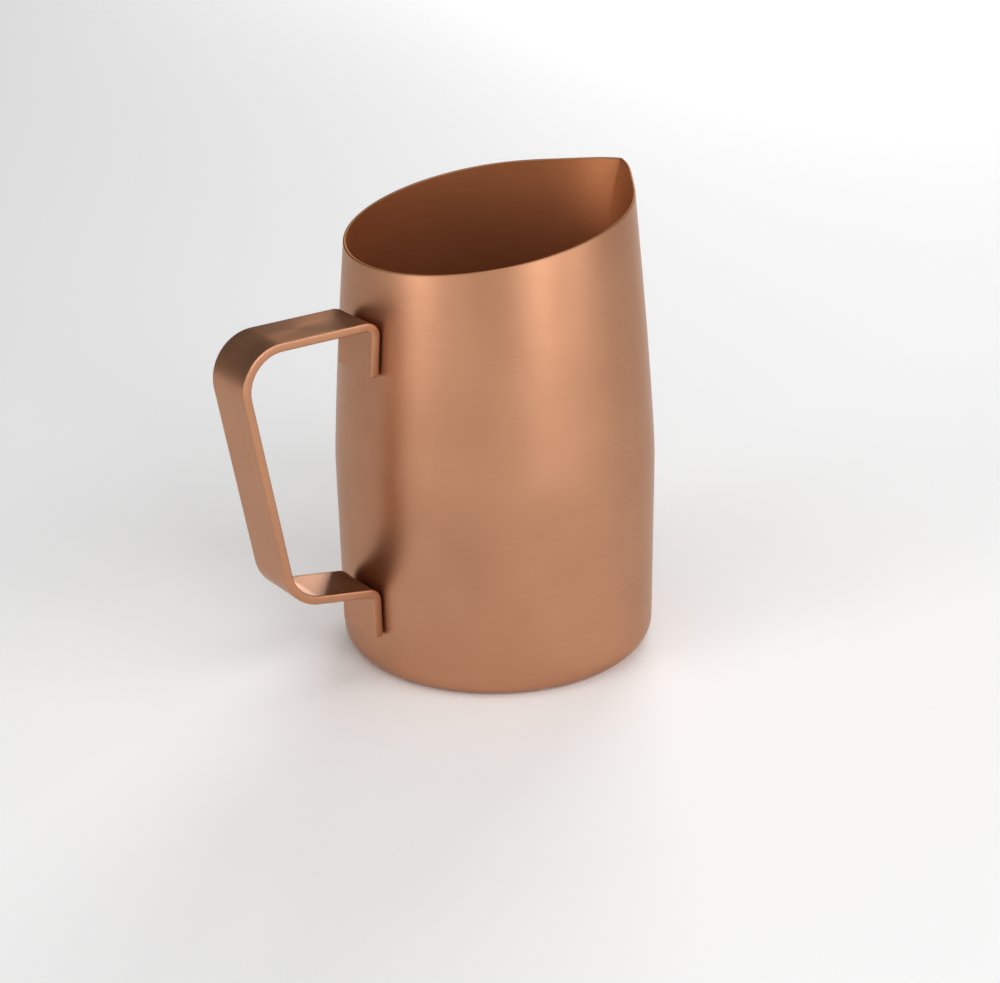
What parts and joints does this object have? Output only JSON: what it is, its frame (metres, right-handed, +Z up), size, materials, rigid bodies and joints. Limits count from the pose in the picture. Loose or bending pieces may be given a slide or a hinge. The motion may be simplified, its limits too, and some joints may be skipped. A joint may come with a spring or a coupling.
{
  "type": "milk frothing jug",
  "caption": "Open steel jug for steaming and pouring milk: waisted round body, slanted rim, pinched pouring spout and a bent strap handle welded opposite the spout.",
  "frame": {"origin": "centre of the base's flat underside, on the body's axis", "axes": "+Z up along the body's axis, +X towards the spout, handle along -X"},
  "size_m": [0.1226, 0.086, 0.1274],
  "materials": {
    "coppered_steel_body": "satin copper-toned, brushed round the body",
    "coppered_steel_strap": "satin copper-toned, brushed along the strap",
    "weld_metal": "fused bare steel"
  },
  "bodies": {
    "root": {"vessel_body": "coppered_steel_body", "handle_strap": "coppered_steel_strap", "weld_upper_left": "weld_metal", "weld_upper_right": "weld_metal", "weld_lower_left": "weld_metal", "weld_lower_right": "weld_metal"}
  },
  "joints": []
}
